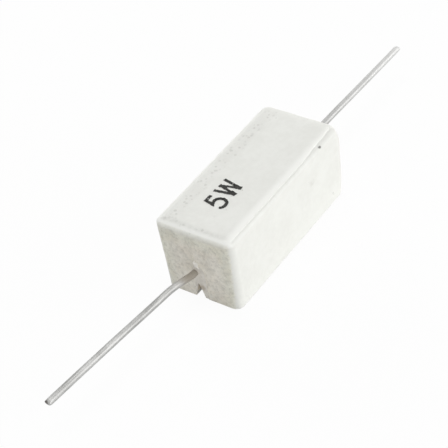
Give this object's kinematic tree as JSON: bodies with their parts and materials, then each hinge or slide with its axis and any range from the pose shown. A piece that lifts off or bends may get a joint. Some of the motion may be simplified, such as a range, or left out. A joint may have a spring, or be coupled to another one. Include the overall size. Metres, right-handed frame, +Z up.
{
  "type": "axial wirewound resistor",
  "caption": "Rectangular ceramic-cased power resistor, cement-filled, with a straight round wire lead leaving the middle of each end.",
  "frame": {"origin": "centre of the underside, midway between the lead tips", "axes": "+X along the leads towards the rear lead, +Z up from the open cement side to the closed top, +Y to the side the leads bend to"},
  "size_m": [0.0664, 0.01, 0.0096],
  "materials": {
    "case_ceramic": "white pressed ceramic, matt and slightly granular, fine pits along the edges",
    "cement": "grey-white silicone cement, matt",
    "core_ceramic": "unglazed ceramic rod",
    "resistance_alloy": "drawn resistance wire",
    "cap_steel": "tinned pressed steel",
    "tinned_lead": "solder-dipped copper wire, satin"
  },
  "bodies": {
    "root": {"ceramic_case": "case_ceramic", "cement_fill": "cement", "core_rod": "core_ceramic", "resistance_wire": "resistance_alloy", "end_cap_front": "cap_steel", "end_cap_rear": "cap_steel", "lead_front": "tinned_lead", "lead_rear": "tinned_lead"}
  },
  "joints": []
}
